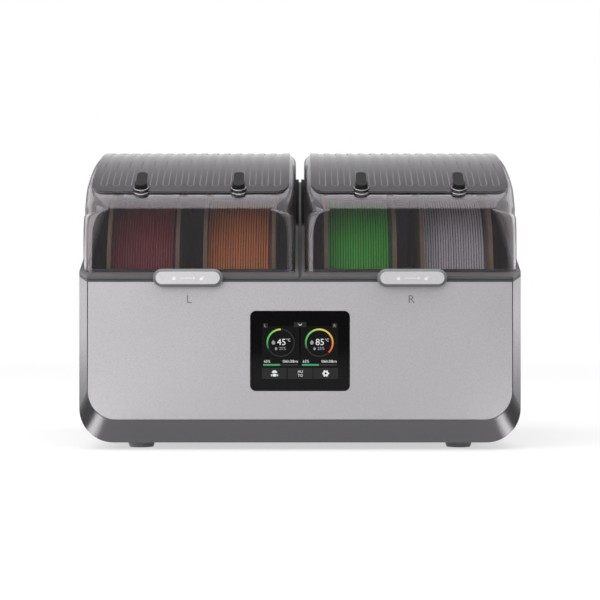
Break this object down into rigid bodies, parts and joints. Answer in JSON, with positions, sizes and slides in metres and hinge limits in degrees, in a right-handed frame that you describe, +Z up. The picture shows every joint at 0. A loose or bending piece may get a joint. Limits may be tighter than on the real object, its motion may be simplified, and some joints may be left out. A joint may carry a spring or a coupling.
{
  "type": "filament dryer box",
  "caption": "Bench-top filament dryer with two heated chambers under smoked flip-up lids, loaded spools on rollers, sliding latches, filament outlets and a front touch display.",
  "frame": {"origin": "on the floor under the middle of the whole box", "axes": "+X to the right along the front, +Y to the rear, +Z up"},
  "size_m": [0.4, 0.2878, 0.2821],
  "materials": {
    "silver_paint": "satin metallic paint",
    "silver_face": "fine satin silver",
    "latch_silver": "satin metallic paint",
    "dark_trim": "fine moulded texture",
    "black_plastic": "fine moulded texture",
    "grey_plastic": "fine moulded texture",
    "smoked_clear": "clear smoked moulding",
    "rib_grey": "satin grey translucent ribs",
    "rubber": "matte rubber",
    "seal_rubber": "soft silicone",
    "plug_rubber": "soft silicone",
    "bush_black": "polished black",
    "steel": "ground steel",
    "screen_glass": "polished black glass",
    "circuit_board": "soldered board",
    "fin_metal": "bare fins",
    "kraft_card": "uncoated kraft board",
    "filament_red": "drawn filament",
    "filament_orange": "drawn filament",
    "filament_green": "drawn filament",
    "filament_grey": "drawn filament"
  },
  "bodies": {
    "base": {"outer_shell": "silver_paint", "front_panel": "silver_face", "rear_cover": "silver_paint", "base_cover": "black_plastic", "rubber_feet": "rubber", "case_screws": "steel", "top_frame": "dark_trim", "hinge_pins": "steel", "lid_seals": "seal_rubber", "roller_axles": "steel", "roller_bearings": "steel", "display_glass": "screen_glass", "display_module": "black_plastic", "control_board": "circuit_board", "power_supply": "fin_metal", "power_inlet": "black_plastic", "heaters": "fin_metal", "fan_frames": "black_plastic", "humidity_sensors": "grey_plastic", "left_chamber_liner": "black_plastic", "right_chamber_liner": "black_plastic"},
    "left_lid": {"left_lid_shell": "smoked_clear", "left_lid_ribs": "rib_grey", "left_latch_guide": "dark_trim", "left_outlet_bushes": "bush_black"},
    "left_latch": {"left_latch": "latch_silver"},
    "left_fan_rotor": {"left_fan_rotor": "black_plastic"},
    "right_lid": {"right_lid_shell": "smoked_clear", "right_lid_ribs": "rib_grey", "right_latch_guide": "dark_trim", "right_outlet_bushes": "bush_black"},
    "right_latch": {"right_latch": "latch_silver"},
    "right_fan_rotor": {"right_fan_rotor": "black_plastic"},
    "outlet_plug_1": {"outlet_plug_1": "plug_rubber"},
    "spool_1": {"spool_1": "kraft_card", "filament_1_core": "filament_red", "filament_1_turns": "filament_red"},
    "roller_1_front": {"roller_1_front": "grey_plastic"},
    "roller_1_rear": {"roller_1_rear": "grey_plastic"},
    "outlet_plug_2": {"outlet_plug_2": "plug_rubber"},
    "spool_2": {"spool_2": "kraft_card", "filament_2_core": "filament_orange", "filament_2_turns": "filament_orange"},
    "roller_2_front": {"roller_2_front": "grey_plastic"},
    "roller_2_rear": {"roller_2_rear": "grey_plastic"},
    "outlet_plug_3": {"outlet_plug_3": "plug_rubber"},
    "spool_3": {"spool_3": "kraft_card", "filament_3_core": "filament_green", "filament_3_turns": "filament_green"},
    "roller_3_front": {"roller_3_front": "grey_plastic"},
    "roller_3_rear": {"roller_3_rear": "grey_plastic"},
    "outlet_plug_4": {"outlet_plug_4": "plug_rubber"},
    "spool_4": {"spool_4": "kraft_card", "filament_4_core": "filament_grey", "filament_4_turns": "filament_grey"},
    "roller_4_front": {"roller_4_front": "grey_plastic"},
    "roller_4_rear": {"roller_4_rear": "grey_plastic"},
    "power_rocker": {"power_rocker": "black_plastic"}
  },
  "joints": [
    {"name": "left_lid_hinge", "type": "hinge", "parent": "base", "child": "left_lid", "pos_m": [-0.1006, 0.1283, 0.2646], "axis": [-1, 0, 0], "range_deg": [0, 80]},
    {"name": "left_latch_slide", "type": "slide", "parent": "left_lid", "child": "left_latch", "axis": [-1, 0, 0], "range_m": [0, 0.008]},
    {"name": "left_fan_spin", "type": "hinge", "parent": "base", "child": "left_fan_rotor", "pos_m": [-0.1006, 0.0023, 0.027], "axis": [0, 0, 1], "continuous": true},
    {"name": "right_lid_hinge", "type": "hinge", "parent": "base", "child": "right_lid", "pos_m": [0.1006, 0.1283, 0.2646], "axis": [-1, 0, 0], "range_deg": [0, 80]},
    {"name": "right_latch_slide", "type": "slide", "parent": "right_lid", "child": "right_latch", "axis": [-1, 0, 0], "range_m": [0, 0.008]},
    {"name": "right_fan_spin", "type": "hinge", "parent": "base", "child": "right_fan_rotor", "pos_m": [0.1006, 0.0023, 0.027], "axis": [0, 0, 1], "continuous": true},
    {"name": "outlet_plug_1_pull", "type": "slide", "parent": "left_lid", "child": "outlet_plug_1", "axis": [0, -0.5274, 0.8496], "range_m": [0, 0.016]},
    {"name": "spool_1_spin", "type": "hinge", "parent": "base", "child": "spool_1", "pos_m": [-0.1451, 0.0023, 0.15201], "axis": [1, 0, 0], "continuous": true},
    {"name": "roller_1_front_spin", "type": "hinge", "parent": "base", "child": "roller_1_front", "pos_m": [-0.1451, -0.05982, 0.0633], "axis": [1, 0, 0], "continuous": true},
    {"name": "roller_1_rear_spin", "type": "hinge", "parent": "base", "child": "roller_1_rear", "pos_m": [-0.1451, 0.06442, 0.0633], "axis": [1, 0, 0], "continuous": true},
    {"name": "outlet_plug_2_pull", "type": "slide", "parent": "left_lid", "child": "outlet_plug_2", "axis": [0, -0.5274, 0.8496], "range_m": [0, 0.016]},
    {"name": "spool_2_spin", "type": "hinge", "parent": "base", "child": "spool_2", "pos_m": [-0.0561, 0.0023, 0.15201], "axis": [1, 0, 0], "continuous": true},
    {"name": "roller_2_front_spin", "type": "hinge", "parent": "base", "child": "roller_2_front", "pos_m": [-0.0561, -0.05982, 0.0633], "axis": [1, 0, 0], "continuous": true},
    {"name": "roller_2_rear_spin", "type": "hinge", "parent": "base", "child": "roller_2_rear", "pos_m": [-0.0561, 0.06442, 0.0633], "axis": [1, 0, 0], "continuous": true},
    {"name": "outlet_plug_3_pull", "type": "slide", "parent": "right_lid", "child": "outlet_plug_3", "axis": [0, -0.5274, 0.8496], "range_m": [0, 0.016]},
    {"name": "spool_3_spin", "type": "hinge", "parent": "base", "child": "spool_3", "pos_m": [0.0561, 0.0023, 0.15201], "axis": [1, 0, 0], "continuous": true},
    {"name": "roller_3_front_spin", "type": "hinge", "parent": "base", "child": "roller_3_front", "pos_m": [0.0561, -0.05982, 0.0633], "axis": [1, 0, 0], "continuous": true},
    {"name": "roller_3_rear_spin", "type": "hinge", "parent": "base", "child": "roller_3_rear", "pos_m": [0.0561, 0.06442, 0.0633], "axis": [1, 0, 0], "continuous": true},
    {"name": "outlet_plug_4_pull", "type": "slide", "parent": "right_lid", "child": "outlet_plug_4", "axis": [0, -0.5274, 0.8496], "range_m": [0, 0.016]},
    {"name": "spool_4_spin", "type": "hinge", "parent": "base", "child": "spool_4", "pos_m": [0.1451, 0.0023, 0.15201], "axis": [1, 0, 0], "continuous": true},
    {"name": "roller_4_front_spin", "type": "hinge", "parent": "base", "child": "roller_4_front", "pos_m": [0.1451, -0.05982, 0.0633], "axis": [1, 0, 0], "continuous": true},
    {"name": "roller_4_rear_spin", "type": "hinge", "parent": "base", "child": "roller_4_rear", "pos_m": [0.1451, 0.06442, 0.0633], "axis": [1, 0, 0], "continuous": true},
    {"name": "power_rocker_tilt", "type": "hinge", "parent": "base", "child": "power_rocker", "pos_m": [0.146, 0.1394, 0.076], "axis": [1, 0, 0], "range_deg": [-14, 0]}
  ],
  "couplings": [
    {"joint": "roller_1_front_spin", "follows": "spool_1_spin", "ratio": -12.5},
    {"joint": "roller_1_rear_spin", "follows": "spool_1_spin", "ratio": -12.5},
    {"joint": "roller_2_front_spin", "follows": "spool_2_spin", "ratio": -12.5},
    {"joint": "roller_2_rear_spin", "follows": "spool_2_spin", "ratio": -12.5},
    {"joint": "roller_3_front_spin", "follows": "spool_3_spin", "ratio": -12.5},
    {"joint": "roller_3_rear_spin", "follows": "spool_3_spin", "ratio": -12.5},
    {"joint": "roller_4_front_spin", "follows": "spool_4_spin", "ratio": -12.5},
    {"joint": "roller_4_rear_spin", "follows": "spool_4_spin", "ratio": -12.5}
  ]
}
